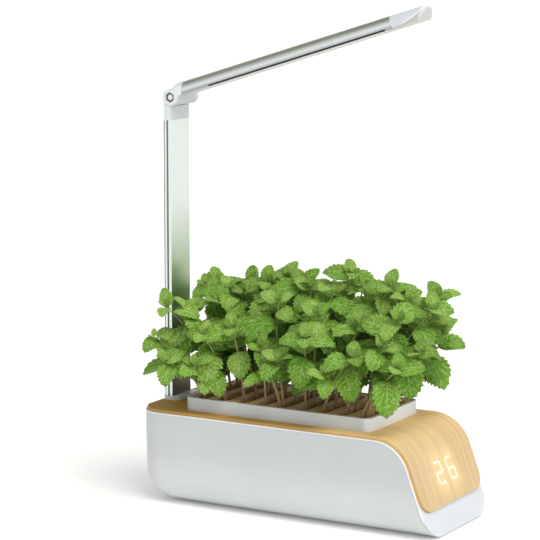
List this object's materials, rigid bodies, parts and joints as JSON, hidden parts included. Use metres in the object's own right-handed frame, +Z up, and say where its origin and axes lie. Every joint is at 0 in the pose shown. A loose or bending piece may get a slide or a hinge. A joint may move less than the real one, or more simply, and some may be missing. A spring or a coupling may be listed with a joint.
{
  "type": "countertop hydroponic garden",
  "caption": "Countertop hydroponic garden: white base with tank and pump, wood-look cover with lit digits, lift-out planting tray with mint, and a grow lamp on a tilting arm.",
  "frame": {"origin": "middle of the footprint, at the height that the four feet stand on", "axes": "+X towards the sloping display end, +Y to the display's right-hand side, +Z up"},
  "size_m": [0.36, 0.1718, 0.547],
  "materials": {
    "white_shell": "satin moulded",
    "wood_look": "printed light wood grain, satin",
    "slat_wood": "printed light wood grain, satin",
    "tank_plastic": "natural, frosted",
    "black_plastic": "moulded",
    "grey_plastic": "moulded, light grey",
    "rubber_foot": "matt",
    "clear_hose": "silicone",
    "board": "circuit board lacquer",
    "led": "clear over phosphor",
    "red_lens": "clear red",
    "diffuser": "frosted",
    "lead_cover": "matt",
    "steel": "zinc plated",
    "washer_plastic": "nylon",
    "ceramic": "ground",
    "polished_aluminium": "polished, anodised",
    "satin_aluminium": "satin, anodised",
    "sponge": "damp growing sponge",
    "mint": "living leaves on brown stems"
  },
  "bodies": {
    "base": {"base_shell": "white_shell", "rubber_feet": "rubber_foot", "top_cover": "wood_look", "water_tank": "tank_plastic", "pump_housing": "black_plastic", "pump_cover": "black_plastic", "pump_shaft": "ceramic", "pump_hose": "clear_hose", "control_board": "board", "board_parts": "black_plastic", "board_screws": "steel", "dc_jack": "black_plastic", "dc_jack_nut": "steel", "power_lead": "lead_cover", "pump_lead": "lead_cover", "lamp_lead": "lead_cover", "display_lead": "lead_cover", "display_board": "board", "display_mask": "black_plastic", "display_leds": "led", "display_screws": "steel", "post_bracket": "black_plastic", "bracket_screws": "steel", "post_collar": "white_shell", "post": "polished_aluminium", "post_screws": "steel", "post_cap": "grey_plastic"},
    "pump_rotor": {"pump_impeller": "tank_plastic"},
    "arm": {"arm_knuckle": "grey_plastic", "hinge_bolt": "steel", "hinge_nut": "steel", "friction_washers": "washer_plastic", "arm_channel": "satin_aluminium", "led_board": "diffuser", "grow_leds": "led", "lamp_diffuser": "diffuser", "status_light": "red_lens", "arm_end_cap": "white_shell", "arm_lead": "lead_cover"},
    "tray": {"planting_tray": "white_shell"},
    "plants": {"slat_plate": "slat_wood", "grow_sponges": "sponge", "mint_rear": "mint", "mint_middle": "mint", "mint_front": "mint"}
  },
  "joints": [
    {"name": "arm_tilt", "type": "hinge", "parent": "base", "child": "arm", "pos_m": [-0.1681, 0, 0.4416], "axis": [0, -1, 0], "range_deg": [-25, 60]},
    {"name": "pump_spin", "type": "hinge", "parent": "base", "child": "pump_rotor", "pos_m": [0.09, 0, 0.022], "axis": [1, 0, 0], "continuous": true},
    {"name": "tray_lift", "type": "slide", "parent": "base", "child": "tray", "axis": [0, 0, 1], "range_m": [0, 0.05]},
    {"name": "plants_lift", "type": "slide", "parent": "tray", "child": "plants", "axis": [0, 0, 1], "range_m": [0, 0.035]}
  ]
}
